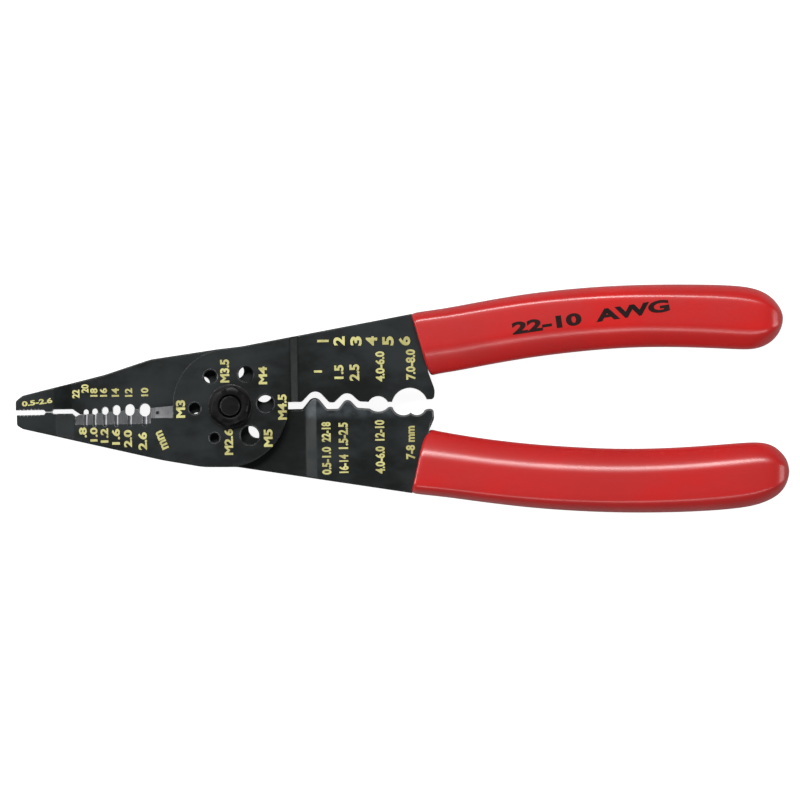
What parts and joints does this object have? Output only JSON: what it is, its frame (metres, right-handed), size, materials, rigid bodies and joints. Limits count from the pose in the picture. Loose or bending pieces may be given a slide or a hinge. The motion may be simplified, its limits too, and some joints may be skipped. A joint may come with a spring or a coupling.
{
  "type": "wire stripper and crimper",
  "caption": "Long-nose wire stripper with lapped steel levers, stripping notches, crimping nests, screw-shearing holes and dipped vinyl grips.",
  "frame": {"origin": "centre of the bounding box in X and Y, on the plane that the back of the grips rests on", "axes": "+X from the nose to the grips along the tool, +Z out of the front face, +Y toward the upper grip"},
  "size_m": [0.2095, 0.0622, 0.0115],
  "materials": {
    "lever_steel": "black oxide, fine ground grain",
    "grip_vinyl": "semi-gloss dipped vinyl",
    "pivot_steel": "black oxide"
  },
  "bodies": {
    "front_half": {"front_lever": "lever_steel", "upper_grip": "grip_vinyl"},
    "rear_half": {"rear_lever": "lever_steel", "lower_grip": "grip_vinyl", "pivot_screw": "pivot_steel", "spring_washer": "pivot_steel", "plain_washer": "pivot_steel", "pivot_nut": "pivot_steel"}
  },
  "joints": [
    {"name": "pivot", "type": "hinge", "parent": "front_half", "child": "rear_half", "pos_m": [-0.0466, 0, 0.0052], "axis": [0, 0, -1], "range_deg": [0, 25]}
  ]
}
